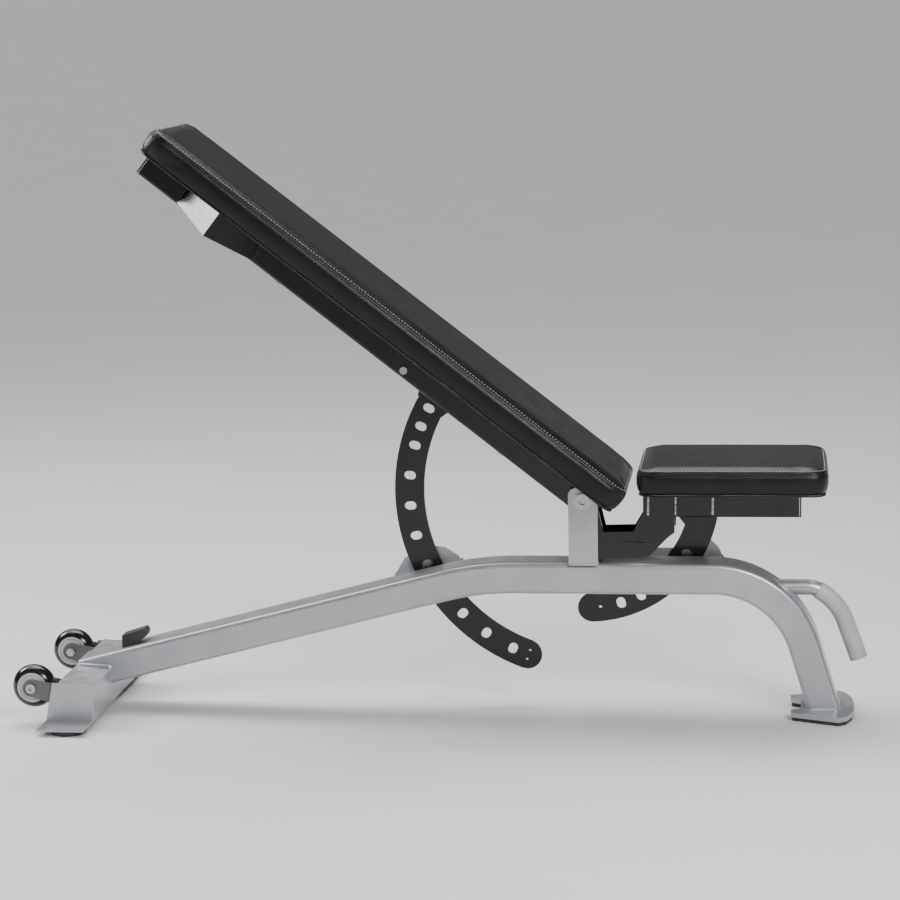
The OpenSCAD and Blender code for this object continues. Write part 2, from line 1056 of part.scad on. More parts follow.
main_tube();
rear_crossmember();
end_bracket_near();
end_bracket_far();
rubber_foot_near();
rubber_foot_far();
wheel_strap_near_outer();
wheel_strap_near_inner();
wheel_strap_far_inner();
wheel_strap_far_outer();
axle_bolt_near();
axle_bolt_far();
axle_nut_near();
axle_nut_far();
wheel_tyre_near();
wheel_tyre_far();
wheel_hub_near();
wheel_hub_far();
front_foot();
front_foot_pad();
post_bracket();
pivot_bolt();
pivot_nut();
pivot_washer_near();
pivot_washer_far();
back_lock_bracket();
back_lock_barrel();
seat_lock_bracket();
seat_lock_barrel();
handle_tube();
handle_grip();
rest_bumper();
back_tube();
back_cap();
back_pivot_bush();
back_wing_near();
back_wing_far();
back_arc();
back_arc_spacer();
back_board();
back_pad();
back_side_bolt();
back_bolt_upper();
back_bolt_lower();
seat_tube();
seat_cap();
seat_arm_near();
seat_arm_far();
seat_washer_near();
seat_washer_far();
seat_arc();
seat_arc_spacer();
seat_board();
seat_pad();
back_lock_pin();
back_lock_knob();
seat_lock_pin();
seat_lock_knob();
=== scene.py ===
import json
import math
import random

import bmesh
import bpy
import numpy as np
from mathutils import Matrix, Vector, noise
from mathutils.bvhtree import BVHTree


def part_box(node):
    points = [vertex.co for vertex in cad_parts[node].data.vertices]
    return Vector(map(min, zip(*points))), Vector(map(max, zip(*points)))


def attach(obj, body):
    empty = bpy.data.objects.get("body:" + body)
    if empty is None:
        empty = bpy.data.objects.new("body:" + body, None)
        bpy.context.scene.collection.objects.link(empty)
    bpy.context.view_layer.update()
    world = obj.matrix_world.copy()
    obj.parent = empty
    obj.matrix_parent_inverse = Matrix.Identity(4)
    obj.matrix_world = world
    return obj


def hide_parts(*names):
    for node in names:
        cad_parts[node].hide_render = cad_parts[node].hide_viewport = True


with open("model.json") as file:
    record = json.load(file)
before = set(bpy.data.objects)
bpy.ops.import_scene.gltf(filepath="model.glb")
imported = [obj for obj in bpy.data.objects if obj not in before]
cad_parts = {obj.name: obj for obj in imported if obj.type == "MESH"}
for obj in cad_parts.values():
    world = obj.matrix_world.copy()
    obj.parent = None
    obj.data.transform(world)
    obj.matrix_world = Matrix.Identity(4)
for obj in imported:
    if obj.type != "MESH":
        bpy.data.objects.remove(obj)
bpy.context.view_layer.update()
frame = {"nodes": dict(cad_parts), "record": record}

NODES = frame["nodes"]
JOINTS = {j["name"]: j for j in frame["record"]["behaviour"]["joints"]}
PIVOT = Vector(JOINTS["back_recline"]["pos_m"])


# ---------------------------------------------------------------- places
def vertex_rows(mesh):
    """The vertices of a mesh, one to a row."""
    flat = np.empty(len(mesh.vertices) * 3)
    mesh.vertices.foreach_get("co", flat)
    return flat.reshape(-1, 3)


def points(node):
    """The vertices of a CAD node, in the shared frame."""
    return vertex_rows(NODES[node].data)


def local_points(node, matrix):
    """The vertices of a CAD node, in a local frame."""
    inv = np.array(matrix.inverted())
    return points(node) @ inv[:3, :3].T + inv[:3, 3]


def local_box(node, matrix):
    """The lowest and highest corner of a node in a local frame."""
    p = local_points(node, matrix)
    return Vector(p.min(axis=0)), Vector(p.max(axis=0))


def rising_axis(node):
    """The upward direction in which a long node runs, in the XZ plane."""
    p = points(node)[:, [0, 2]]
    _, _, rows = np.linalg.svd(p - p.mean(axis=0), full_matrices=False)
    axis = Vector((rows[0][0], 0, rows[0][1])).normalized()
    return -axis if axis.z < 0 else axis


# The back's own frame: x down the tube towards its foot, y across, z out of the pad
BACK_U = rising_axis("back_tube")
BACK_V = Vector((BACK_U.z, 0, -BACK_U.x))
BACK_FRAME = Matrix((
    (-BACK_U.x, 0, BACK_V.x, PIVOT.x),
    (0, 1, 0, 0),
    (-BACK_U.z, 0, BACK_V.z, PIVOT.z),
    (0, 0, 0, 1),
))
SEAT_FRAME = Matrix.Translation(PIVOT)


# ---------------------------------------------------------------- pieces
def new_piece(name, bm, mat, body):
    """Turns a bmesh into a smooth piece that rides on a body."""
    mesh = bpy.data.meshes.new(name)
    bm.normal_update()
    bm.to_mesh(mesh)
    bm.free()
    mesh.polygons.foreach_set("use_smooth", [True] * len(mesh.polygons))
    obj = bpy.data.objects.new(name, mesh)
    bpy.context.scene.collection.objects.link(obj)
    mesh.materials.append(mat)
    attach(obj, body)
    return obj


def frame_at(direction):
    """Two unit vectors across a direction."""
    d = direction.normalized()
    side = d.cross(Vector((0, 0, 1)) if abs(d.z) < 0.9 else Vector((1, 0, 0))).normalized()
    return side, d.cross(side).normalized()


def sweep(bm, path, radii, sides=8, close=False, squash=1.0, up=None):
    """Adds a tube along a path, with a radius at each point."""
    n = len(path)
    rings = []
    for i, p in enumerate(path):
        if close:
            d = path[(i + 1) % n] - path[i - 1]
        else:
            d = path[min(i + 1, n - 1)] - path[max(i - 1, 0)]
        if up is None:
            a, b = frame_at(d)
        else:
            b = (up - d.normalized() * up.dot(d.normalized())).normalized()
            a = b.cross(d.normalized()).normalized()
        r = radii[i] if hasattr(radii, "__len__") else radii
        ring = []
        for k in range(sides):
            t = 2 * math.pi * k / sides
            ring.append(bm.verts.new(p + a * math.cos(t) * r + b * math.sin(t) * r * squash))
        rings.append(ring)
    for i in range(n if close else n - 1):
        lo, hi = rings[i], rings[(i + 1) % n]
        for k in range(sides):
            bm.faces.new((lo[k], lo[(k + 1) % sides], hi[(k + 1) % sides], hi[k]))
    if not close:
        bm.faces.new(list(reversed(rings[0])))
        bm.faces.new(rings[-1])


def resample(path, pitch):
    """Points spaced evenly along a path."""
    out = [path[0].copy()]
    carry = 0.0
    for a, b in zip(path, path[1:]):
        length = (b - a).length
        t = pitch - carry
        while t <= length:
            out.append(a.lerp(b, t / length))
            t += pitch
        carry = (carry + length) % pitch
    return out


# ---------------------------------------------------------------- shader helpers
def material(name):
    """A new material, with its shader and its object coordinates."""
    mat = bpy.data.materials.new(name)
    mat.use_nodes = True
    tree = mat.node_tree
    tree.nodes.clear()
    out = tree.nodes.new("ShaderNodeOutputMaterial")
    shader = tree.nodes.new("ShaderNodeBsdfPrincipled")
    tree.links.new(shader.outputs[0], out.inputs["Surface"])
    where = tree.nodes.new("ShaderNodeTexCoord")
    return mat, tree, shader, where.outputs["Object"]


def noise_node(tree, where, scale, detail=3.0, rough=0.5, stretch=None):
    """Noise of one scale, drawn out along an axis where stretch says so."""
    node = tree.nodes.new("ShaderNodeTexNoise")
    node.inputs["Scale"].default_value = scale
    node.inputs["Detail"].default_value = detail
    node.inputs["Roughness"].default_value = rough
    if stretch:
        mapping = tree.nodes.new("ShaderNodeMapping")
        mapping.inputs["Scale"].default_value = stretch
        tree.links.new(where, mapping.inputs["Vector"])
        where = mapping.outputs[0]
    tree.links.new(where, node.inputs["Vector"])
    return node.outputs["Fac"]


def remap(tree, value, span, result):
    """A value whose span is stretched to the result's range."""
    node = tree.nodes.new("ShaderNodeMapRange")
    for key, number in zip(("From Min", "From Max", "To Min", "To Max"), (*span, *result)):
        node.inputs[key].default_value = number
    tree.links.new(value, node.inputs["Value"])
    return node.outputs["Result"]


def varied(tree, where, scale, detail, span, result):
    """Plain noise stretched to a range."""
    return remap(tree, noise_node(tree, where, scale, detail), span, result)


def blend_colour(tree, factor, first, second):
    """A mix of two colours, each a constant or a socket."""
    node = tree.nodes.new("ShaderNodeMix")
    node.data_type = "RGBA"
    tree.links.new(factor, node.inputs["Factor"])
    for socket, colour in ((node.inputs[6], first), (node.inputs[7], second)):
        if hasattr(colour, "is_linked"):
            tree.links.new(colour, socket)
        else:
            socket.default_value = (*colour, 1)
    return node.outputs[2]


def math_node(tree, kind, a, b):
    """Arithmetic on two values, each a constant or a socket."""
    node = tree.nodes.new("ShaderNodeMath")
    node.operation = kind
    for socket, value in ((node.inputs[0], a), (node.inputs[1], b)):
        if hasattr(value, "is_linked"):
            tree.links.new(value, socket)
        else:
            socket.default_value = value
    return node.outputs[0]


def bevel_node(tree, radius):
    """The normal as if edges were rounded to a radius."""
    bevel = tree.nodes.new("ShaderNodeBevel")
    bevel.samples = 4
    bevel.inputs["Radius"].default_value = radius
    return bevel.outputs[0]


def edge_mask(tree, radius):
    """1 near sharp edges and 0 on flats."""
    geo = tree.nodes.new("ShaderNodeNewGeometry")
    dot = tree.nodes.new("ShaderNodeVectorMath")
    dot.operation = "DOT_PRODUCT"
    tree.links.new(bevel_node(tree, radius), dot.inputs[0])
    tree.links.new(geo.outputs["Normal"], dot.inputs[1])
    away = math_node(tree, "SUBTRACT", 1.0, dot.outputs["Value"])
    return remap(tree, away, (0.0, 0.06), (0.0, 1.0))


def bumped(tree, height, strength, distance, normal=None):
    """A normal with a fine bump on it."""
    bump = tree.nodes.new("ShaderNodeBump")
    bump.inputs["Strength"].default_value = strength
    bump.inputs["Distance"].default_value = distance
    tree.links.new(height, bump.inputs["Height"])
    if normal is not None:
        tree.links.new(normal, bump.inputs["Normal"])
    return bump.outputs[0]


def rounded_edges(tree, radius, height, strength, distance):
    """A normal with softened edges and a fine bump."""
    return bumped(tree, height, strength, distance, bevel_node(tree, radius))


# ---------------------------------------------------------------- materials
MIDDLE = (0.3, 0.7)  # the part of a noise's range that carries its variation
UPPER = (0.35, 0.7)


def silver_paint():
    """Metallic silver powder coat, with orange peel, flake and worn edges."""
    mat, tree, s, where = material("silver_paint")
    edge = 0.0012
    cloud = varied(tree, where, 9, 4, MIDDLE, (0, 1))
    flake = varied(tree, where, 2600, 1, (0.56, 0.75), (0, 0.5))
    base = blend_colour(tree, cloud, (0.37, 0.385, 0.405), (0.45, 0.465, 0.485))
    base = blend_colour(tree, flake, base, (0.78, 0.80, 0.83))
    rubbed = varied(tree, where, 120, 3, (0.45, 0.6), (0.1, 0.8))
    scuff = math_node(tree, "MULTIPLY", edge_mask(tree, edge), rubbed)
    tree.links.new(blend_colour(tree, scuff, base, (0.72, 0.73, 0.75)), s.inputs["Base Color"])
    s.inputs["Metallic"].default_value = 0.65
    tree.links.new(varied(tree, where, 60, 4, MIDDLE, (0.30, 0.42)), s.inputs["Roughness"])
    s.inputs["Coat Weight"].default_value = 0.35
    s.inputs["Coat Roughness"].default_value = 0.18
    peel = noise_node(tree, where, 520, 2)
    tree.links.new(rounded_edges(tree, edge, peel, 0.10, 0.0004), s.inputs["Normal"])
    return mat


def dark_paint(name, colour, rough, coat):
    """Solid powder coat over steel, with orange peel and edges rubbed lighter."""
    mat, tree, s, where = material(name)
    edge = 0.0010
    lighter = tuple(min(1.0, c * 1.5 + 0.001) for c in colour)
    s.inputs["Specular IOR Level"].default_value = 0.38
    base = blend_colour(tree, varied(tree, where, 14, 4, UPPER, (0, 1)), colour, lighter)
    rubbed = varied(tree, where, 140, 3, (0.45, 0.65), (0.05, 0.7))
    worn = math_node(tree, "MULTIPLY", edge_mask(tree, edge), rubbed)
    tree.links.new(blend_colour(tree, worn, base, (0.16, 0.16, 0.165)), s.inputs["Base Color"])
    gloss = varied(tree, where, 45, 4, MIDDLE, (rough * 0.8, rough * 1.25))
    tree.links.new(gloss, s.inputs["Roughness"])
    s.inputs["Coat Weight"].default_value = coat
    s.inputs["Coat Roughness"].default_value = 0.08
    peel = noise_node(tree, where, 460, 2)
    tree.links.new(rounded_edges(tree, edge, peel, 0.10, 0.0004), s.inputs["Normal"])
    return mat


def leather_cells(tree, where):
    """The distance to the edge of each grain cell, with the cells a little warped."""
    cells = tree.nodes.new("ShaderNodeTexVoronoi")
    cells.feature = "DISTANCE_TO_EDGE"
    cells.inputs["Scale"].default_value = 620
    wobble = tree.nodes.new("ShaderNodeTexNoise")
    wobble.inputs["Scale"].default_value = 240
    tree.links.new(where, wobble.inputs["Vector"])
    warp = tree.nodes.new("ShaderNodeMix")
    warp.data_type = "VECTOR"
    warp.inputs[0].default_value = 0.004
    tree.links.new(where, warp.inputs[4])
    tree.links.new(wobble.outputs["Color"], warp.inputs[5])
    tree.links.new(warp.outputs[1], cells.inputs["Vector"])
    return remap(tree, cells.outputs["Distance"], (0.0, 0.16), (0.0, 1.0))


def vinyl():
    """Upholstery vinyl: leather grain in two scales with painted shade in its valleys, soft
    creases and a satin sheen.
    """
    mat, tree, s, where = material("black_vinyl")
    dark, light = (0.005, 0.005, 0.0055), (0.010, 0.010, 0.011)
    grain = leather_cells(tree, where)
    fine = noise_node(tree, where, 1500, 2)
    crease = noise_node(tree, where, 34, 5, 0.6)
    base = blend_colour(tree, varied(tree, where, 11, 4, MIDDLE, (0, 1)), dark, light)
    # Painted shade: the colour darkens towards the edge of each grain cell, in the grain's valleys
    grain_valley_shade = remap(tree, grain, (0, 1), (0.35, 0))
    tree.links.new(blend_colour(tree, grain_valley_shade, base, (0.005, 0.005, 0.005)), s.inputs["Base Color"])
    tree.links.new(remap(tree, crease, (0.3, 0.75), (0.27, 0.40)), s.inputs["Roughness"])
    s.inputs["Specular IOR Level"].default_value = 0.24
    s.inputs["Sheen Weight"].default_value = 0.05
    s.inputs["Sheen Roughness"].default_value = 0.4
    height = math_node(tree, "ADD", grain, math_node(tree, "MULTIPLY", fine, 0.5))
    height = math_node(tree, "ADD", height, math_node(tree, "MULTIPLY", crease, 3.0))
    tree.links.new(bumped(tree, height, 0.20, 0.00035), s.inputs["Normal"])
    return mat


def moulded(name, colour, rough, grain_scale, grain):
    """Moulded plastic or rubber with a fine texture and scuffs."""
    mat, tree, s, where = material(name)
    edge = 0.0008
    lighter = tuple(min(1.0, c * 1.25 + 0.01) for c in colour)
    pale = tuple(min(1.0, c * 1.5 + 0.05) for c in colour)
    base = blend_colour(tree, varied(tree, where, 26, 4, UPPER, (0, 1)), colour, lighter)
    worn = math_node(tree, "MULTIPLY", edge_mask(tree, edge), 0.35)
    tree.links.new(blend_colour(tree, worn, base, pale), s.inputs["Base Color"])
    gloss = varied(tree, where, 90, 4, MIDDLE, (rough * 0.85, min(1.0, rough * 1.15)))
    tree.links.new(gloss, s.inputs["Roughness"])
    texture = noise_node(tree, where, grain_scale, 2)
    tree.links.new(rounded_edges(tree, edge, texture, grain, 0.0004), s.inputs["Normal"])
    return mat


def bare_steel():
    """Bright zinc plate with turning marks and a little tarnish."""
    mat, tree, s, where = material("zinc_steel")
    rough = 0.22
    tarnish = varied(tree, where, 75, 5, (0.4, 0.7), (0, 0.5))
    base = blend_colour(tree, tarnish, (0.44, 0.45, 0.465), (0.40, 0.39, 0.36))
    tree.links.new(base, s.inputs["Base Color"])
    s.inputs["Metallic"].default_value = 1.0
    brushed = noise_node(tree, where, 300, 3, 0.6, (1, 6, 1))
    tree.links.new(remap(tree, brushed, MIDDLE, (rough * 0.7, rough * 1.5)), s.inputs["Roughness"])
    turned = noise_node(tree, where, 900, 2, 0.5, (1, 8, 1))
    tree.links.new(rounded_edges(tree, 0.0006, turned, 0.08, 0.0002), s.inputs["Normal"])
    return mat


def plywood():
    """Pale ply with stretched grain."""
    mat, tree, s, where = material("plywood")
    grain = noise_node(tree, where, 22, 6, 0.6, (0.6, 9, 3))
    streaks = remap(tree, grain, MIDDLE, (0, 1))
    base = blend_colour(tree, streaks, (0.30, 0.19, 0.10), (0.47, 0.33, 0.19))
    tree.links.new(base, s.inputs["Base Color"])
    s.inputs["Roughness"].default_value = 0.75
    tree.links.new(bumped(tree, grain, 0.2, 0.0003), s.inputs["Normal"])
    return mat


def thread():
    """Twisted polyester thread."""
    mat, tree, s, where = material("thread")
    twist = tree.nodes.new("ShaderNodeTexWave")
    twist.inputs["Scale"].default_value = 700
    twist.bands_direction = "DIAGONAL"
    tree.links.new(where, twist.inputs["Vector"])
    shade = blend_colour(tree, twist.outputs["Fac"], (0.20, 0.20, 0.205), (0.34, 0.34, 0.345))
    tree.links.new(shade, s.inputs["Base Color"])
    s.inputs["Roughness"].default_value = 0.6
    return mat


MATS = {
    "silver_paint": silver_paint(),
    "black_paint": dark_paint("black_paint", (0.0035, 0.0035, 0.004), 0.20, 0.12),
    "grey_paint": dark_paint("grey_paint", (0.085, 0.085, 0.09), 0.36, 0.2),
    "black_plastic": moulded("black_plastic", (0.009, 0.009, 0.010), 0.42, 900, 0.25),
    "grey_plastic": moulded("grey_plastic", (0.40, 0.41, 0.42), 0.32, 500, 0.08),
    "black_vinyl": vinyl(),
    "grip_vinyl": moulded("grip_vinyl", (0.36, 0.37, 0.385), 0.42, 700, 0.12),
    "plywood": plywood(),
    "foot_rubber": moulded("foot_rubber", (0.02, 0.02, 0.02), 0.62, 700, 0.3),
    "wheel_rubber": moulded("wheel_rubber", (0.005, 0.005, 0.0055), 0.16, 500, 0.05),
    "zinc_steel": bare_steel(),
}
THREAD = thread()
for part in frame["record"]["subparts"]:
    shown = NODES[part["node"]]
    shown.data.materials.clear()
    shown.data.materials.append(MATS[part["material_slot"]])
# The photograph shows the lock brackets in the silver of the tube that they are welded to
for node in ("back_lock_bracket", "seat_lock_bracket"):
    NODES[node].data.materials[0] = MATS["silver_paint"]


# ---------------------------------------------------------------- padded pieces
PAD_CORNER = 0.028
PAD_INSET = 0.0018  # from the CAD pad's side to the cushion's widest line
PAD_GAP_LOW, PAD_GAP_HIGH = 0.0010, 0.0030  # from the CAD pad, left for swelling
# A cushion's side from the board up: how far in, and how high
PAD_PROFILE = (
    (0.0052, 0.0), (0.0026, 0.0030), (0.0010, 0.008), (0.0, 0.014),
    (0.0, 0.026), (0.001, 0.0335), (0.004, 0.0375), (0.010, 0.0395),
)
PROFILE_TOP = PAD_PROFILE[-1][1]
VOXEL = 0.0055
SIM_FRAMES = 20
SWELL_LIMIT = 0.0085
HELD_FOOT = 0.004  # the height that is stapled to the board
SEAM_SHARE = 0.76  # the seam's height, as a share of the CAD pad


def outline(x0, x1, y0, y1, r, step=0.006):
    """A rounded rectangle, anticlockwise, as (x, y, nx, ny) points."""
    out = []
    corners = (
        ((x1 - r, y1 - r), 0),
        ((x0 + r, y1 - r), 90),
        ((x0 + r, y0 + r), 180),
        ((x1 - r, y0 + r), 270),
    )
    for (cx, cy), start in corners:
        count = max(3, int(r * math.pi / 2 / step))
        for k in range(count + 1):
            t = math.radians(start + 90 * k / count)
            out.append((cx + r * math.cos(t), cy + r * math.sin(t), math.cos(t), math.sin(t)))
        nx, ny = out[-1][:2]
        t = math.radians(start + 90)
        (dx, dy) = corners[(start // 90 + 1) % 4][0]
        ex, ey = dx + r * math.cos(t), dy + r * math.sin(t)
        run = math.hypot(ex - nx, ey - ny)
        parts = max(1, int(run / step))
        for k in range(1, parts):
            f = k / parts
            out.append((nx + (ex - nx) * f, ny + (ey - ny) * f, math.cos(t), math.sin(t)))
    return out


def shrunk(box, inset):
    """A box (x0, x1, y0, y1) moved inwards on every side."""
    return (box[0] + inset, box[1] - inset, box[2] + inset, box[3] - inset)


def inside(x, y, box, r):
    """How far a point lies inside a rounded rectangle; negative outside."""
    x0, x1, y0, y1 = box
    qx = abs(x - (x0 + x1) / 2) - ((x1 - x0) / 2 - r)
    qy = abs(y - (y0 + y1) / 2) - ((y1 - y0) / 2 - r)
    return r - math.hypot(max(qx, 0), max(qy, 0)) - min(max(qx, qy), 0)


def prism(rings):
    """A closed form from rings of points, lowest first, capped at both ends."""
    bm = bmesh.new()
    made = [[bm.verts.new(p) for p in ring] for ring in rings]
    for lo, hi in zip(made, made[1:]):
        for k in range(len(lo)):
            bm.faces.new((lo[k], lo[(k + 1) % len(lo)], hi[(k + 1) % len(lo)], hi[k]))
    bm.faces.new(list(reversed(made[0])))
    bm.faces.new(made[-1])
    return bm


def apply_modifier(obj, name):
    """Applies one modifier of an object."""
    for other in bpy.context.selected_objects:
        other.select_set(False)
    obj.select_set(True)
    bpy.context.view_layer.objects.active = obj
    bpy.ops.object.modifier_apply(modifier=name)


def even_ring(ring, count):
    """A closed ring again, with that many evenly spaced points."""
    just_over = 1.0000001  # keeps the last point from falling on the first
    closed = ring + [ring[0]]
    total = sum((b - a).length for a, b in zip(closed, closed[1:]))
    even = resample(closed, total / count * just_over)[:count]
    while len(even) < count:
        even.append(ring[-1].copy())
    return even


def pad_form(name, box, z0, z1):
    """A cushion's closed form, remeshed into even cells, in its local frame."""
    rings = []
    for inset, height in PAD_PROFILE:
        z = z0 + height / PROFILE_TOP * (z1 - z0)
        base = outline(*shrunk(box, inset), PAD_CORNER - inset)
        rings.append([Vector((x, y, z)) for x, y, _, _ in base])
    count = min(len(ring) for ring in rings)
    bm = prism([even_ring(ring, count) for ring in rings])
    mesh = bpy.data.meshes.new(name)
    bm.to_mesh(mesh)
    bm.free()
    obj = bpy.data.objects.new(name, mesh)
    bpy.context.scene.collection.objects.link(obj)
    remesh = obj.modifiers.new("remesh", "REMESH")
    remesh.mode = "VOXEL"
    remesh.voxel_size = VOXEL
    apply_modifier(obj, "remesh")
    return obj


def hold(obj, rest, box, z0, z1):
    """Pins the cloth along the board, and lightly along the seam."""
    group = obj.vertex_groups.new(name="held")
    seam = z0 + (z1 - z0) * 0.80
    for i, (x, y, z) in enumerate(rest):
        if z < z0 + HELD_FOOT:
            group.add([i], 1.0, "REPLACE")
        elif inside(x, y, box, PAD_CORNER) < 0.006 and abs(z - seam) < 0.004:
            group.add([i], 0.35, "REPLACE")


def swollen(obj, rest):
    """Where a cloth simulation under pressure moves the vertices, up to a limit."""
    cloth = obj.modifiers.new("cloth", "CLOTH")
    cloth.settings.use_pressure = True
    cloth.settings.uniform_pressure_force = 4
    cloth.settings.effector_weights.gravity = 0
    cloth.settings.vertex_group_mass = "held"
    cloth.settings.pin_stiffness = 1.0
    cloth.settings.quality = 5
    cloth.settings.tension_stiffness = 18
    cloth.settings.compression_stiffness = 14
    cloth.settings.shear_stiffness = 8
    cloth.settings.bending_stiffness = 0.8
    cloth.point_cache.frame_start = 1
    cloth.point_cache.frame_end = SIM_FRAMES
    scene = bpy.context.scene
    for f in range(1, SIM_FRAMES + 1):
        scene.frame_set(f)
    seen = obj.evaluated_get(bpy.context.evaluated_depsgraph_get()).to_mesh()
    moved = vertex_rows(seen)
    obj.modifiers.clear()
    scene.frame_set(1)
    step = moved - rest
    size = np.linalg.norm(step, axis=1)
    capped = SWELL_LIMIT * np.tanh(size / SWELL_LIMIT) / np.maximum(size, 1e-9)
    return rest + step * np.where(size > 1e-9, capped, 1.0)[:, None]


def crown_and_pucker(skin, box, z0, z1, top, seed):
    """Raises the top a little and wrinkles the foot, kept under the top of the CAD pad."""
    crown, unevenness, crown_reach = 0.0022, 0.0007, 0.030
    foot, foot_in, sideways, upwards = 0.016, 0.012, 0.0011, 0.0010
    mid_x, mid_y = (box[0] + box[1]) / 2, (box[2] + box[3]) / 2
    for i in range(len(skin)):
        x, y, z = skin[i]
        d = max(0.0, inside(x, y, box, PAD_CORNER))
        if z > z0 + 0.5 * (z1 - z0) and d > 0.004:
            soft = 1 - math.exp(-d / crown_reach)
            z += crown * soft
            z += unevenness * soft * noise.noise(Vector((x * 9, y * 14, seed)))
        if z < z0 + foot and d < foot_in:
            out = Vector((x - mid_x, y - mid_y, 0))
            pull = noise.noise(Vector((x * 26, y * 26, seed + 3.0)))
            fade = 1 - max(0.0, (z - z0)) / foot
            away = out.normalized() * (sideways * pull * fade)
            x, y = x + away.x, y + away.y
            z += upwards * fade * noise.noise(Vector((x * 21 + 9, y * 21, seed + 7.0)))
        skin[i] = (x, y, min(z, top))


def refine(obj):
    """Divides the skin once and evens it out."""
    sub = obj.modifiers.new("sub", "SUBSURF")
    sub.levels = sub.render_levels = 1
    even = obj.modifiers.new("even", "SMOOTH")
    even.factor = 0.5
    even.iterations = 14
    apply_modifier(obj, "sub")
    apply_modifier(obj, "even")


def press_seam(obj, seam):
    """Pulls a groove into the side at the seam, with a small lip above it."""
    groove_depth, groove_width = 0.0011, 0.0016
    lip_height, lip_width, lip_above = 0.0006, 0.0028, 0.0042
    co = vertex_rows(obj.data)
    normals = np.empty(co.size)
    obj.data.vertex_normals.foreach_get("vector", normals)
    flat = normals.reshape(-1, 3) * (1, 1, 0)
    length = np.linalg.norm(flat, axis=1)
    groove = groove_depth * np.exp(-((co[:, 2] - seam) / groove_width) ** 2)
    lip = lip_height * np.exp(-((co[:, 2] - seam - lip_above) / lip_width) ** 2)
    push = np.where(length > 0.3, (groove - lip) / np.maximum(length, 1e-6), 0.0)
    co -= flat * push[:, None]
    obj.data.vertices.foreach_set("co", co.ravel())
    obj.data.update()


def seam_path(obj, z, box, step, out=0.0):
    """The line round a cushion at one height, found on its surface."""
    reach = 0.03
    tree = BVHTree.FromObject(obj, bpy.context.evaluated_depsgraph_get())
    path = []
    for x, y, nx, ny in outline(*box, PAD_CORNER, step):
        start = Vector((x, y, z)) + Vector((nx, ny, 0)) * reach
        hit, normal, _, _ = tree.ray_cast(start, -Vector((nx, ny, 0)))
        if hit is not None:
            path.append(hit + normal * out)
    return path


def stitches(name, path, pitch, length, radius, body, seed):
    """A row of separate stitches lying on a surface."""
    parts = 8  # of a pitch
    taper = ((0.0, 0.35), (0.18, 0.9), (0.5, 1.0), (0.82, 0.9), (1.0, 0.35))
    bm = bmesh.new()
    line = resample(path + [path[0]], pitch / parts)
    rng = random.Random(seed)
    for k in range(len(line) // parts):
        a = line[k * parts]
        b = line[min(k * parts + int(parts * length / pitch), len(line) - 1)]
        d = b - a
        if d.length < 1e-5:
            continue
        tilt = Vector((0, 0, rng.uniform(-0.08, 0.08) * radius))
        sweep(bm, [a + d * f + tilt for f, _ in taper], [radius * share for _, share in taper], 6)
    return new_piece(name, bm, THREAD, body)


HEM_OUTER, HEM_INNER, HEM_THICK = 0.0060, 0.034, 0.0022
HEM_ROWS = ((0.0, 0.0009), (0.06, 0.0002), (0.5, 0.0), (0.94, 0.0), (1.0, 0.0005))


def hem(name, box, z, body, seed):
    """Vinyl pulled round under the board: a thin band with a wandering inner edge."""
    wander_by, pleat_by = 0.004, 0.0004
    outer = outline(*shrunk(box, HEM_OUTER), PAD_CORNER - HEM_OUTER, 0.008)
    rings = []
    for share, lift in HEM_ROWS:
        ring = []
        for x, y, nx, ny in outer:
            wander = wander_by * noise.noise(Vector((x * 30, y * 30, seed)))
            inward = share * (HEM_INNER - HEM_OUTER + wander)
            pleat = pleat_by * share * noise.noise(Vector((x * 90, y * 90, seed + 5.0)))
            ring.append(Vector((x - nx * inward, y - ny * inward, z + lift + pleat)))
        rings.append(ring)
    rings += [[p + Vector((0, 0, HEM_THICK)) for p in ring] for ring in reversed(rings)]
    bm = bmesh.new()
    made = [[bm.verts.new(p) for p in ring] for ring in rings]
    made.append(made[0])
    for lo, hi in zip(made, made[1:]):
        for k in range(len(lo)):
            bm.faces.new((lo[k], hi[k], hi[(k + 1) % len(lo)], lo[(k + 1) % len(lo)]))
    bmesh.ops.recalc_face_normals(bm, faces=bm.faces)
    return new_piece(name, bm, MATS["black_vinyl"], body)


def hem_staples(name, box, z, body, seed):
    """The staples that hold a hem, each turned its own way."""
    inward, pitch, half_width, leg, wire = 0.025, 0.032, 0.005, 0.0010, 0.0005
    outer = outline(*shrunk(box, HEM_OUTER), PAD_CORNER - HEM_OUTER, 0.008)
    line = [Vector((x - nx * inward, y - ny * inward, z)) for x, y, nx, ny in outer]
    bm = bmesh.new()
    rng = random.Random(seed)
    for p in resample(line + [line[0]], pitch):
        turn = rng.uniform(0, math.pi)
        d = Vector((math.cos(turn), math.sin(turn), 0)) * half_width
        up = Vector((0, 0, leg))
        sweep(bm, [p - d + up, p - d, p + d, p + d + up], wire, 5)
    return new_piece(name, bm, MATS["zinc_steel"], body)


